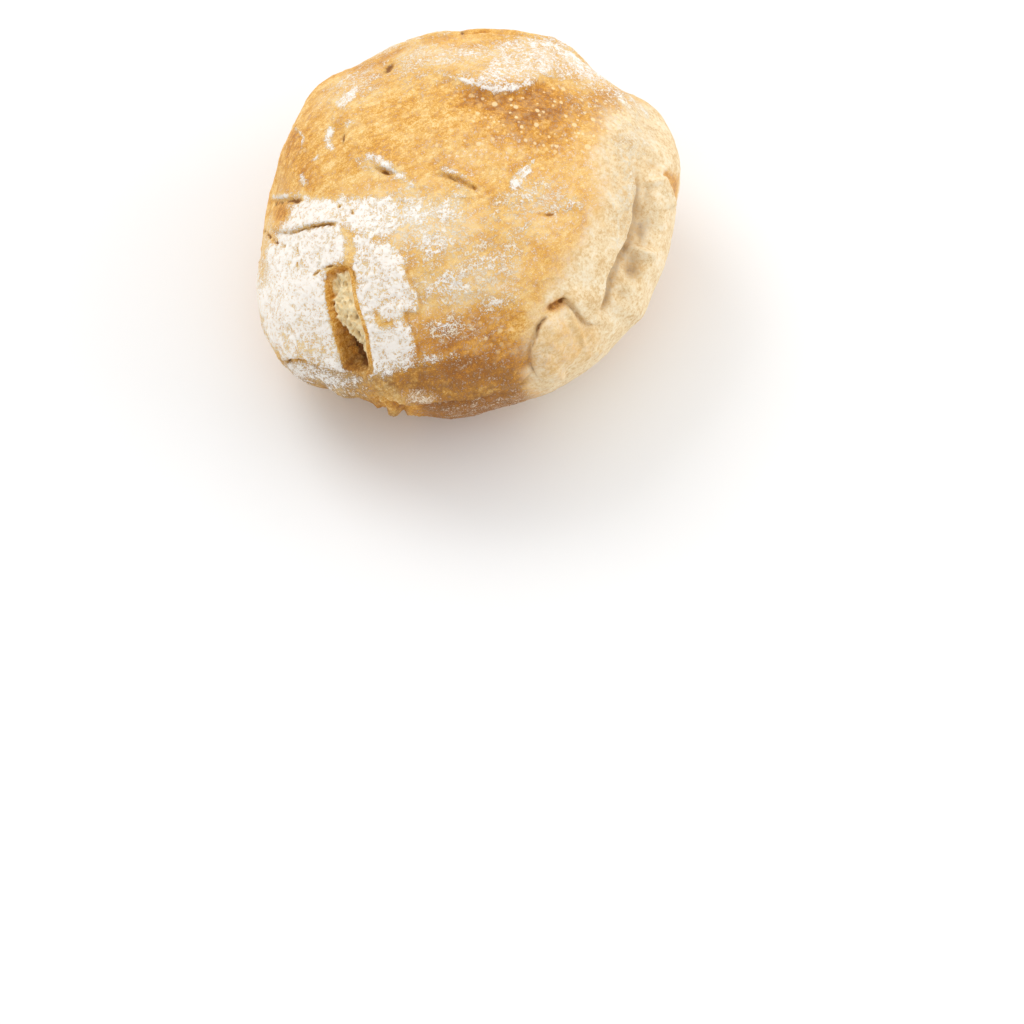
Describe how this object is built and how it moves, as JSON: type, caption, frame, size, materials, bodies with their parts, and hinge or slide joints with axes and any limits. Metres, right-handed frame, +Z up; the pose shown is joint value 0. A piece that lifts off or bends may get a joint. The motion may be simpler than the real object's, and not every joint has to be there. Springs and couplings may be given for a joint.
{
  "type": "bread roll",
  "caption": "Round crusty hand-shaped bread roll, baked as one piece, with a torn floury crust, folded edges and a small flat foot to rest on.",
  "frame": {"origin": "on the table, under the middle of the roll's bounding box", "axes": "+Z up out of the flat foot, -Y towards the floury torn face, +X towards the pale folded brim"},
  "size_m": [0.1064, 0.1042, 0.0668],
  "materials": {
    "crust": "dry matte baked crust, golden brown with flour dusting, pale where it touched its neighbour"
  },
  "bodies": {
    "root": {"bread_roll": "crust"}
  },
  "joints": []
}
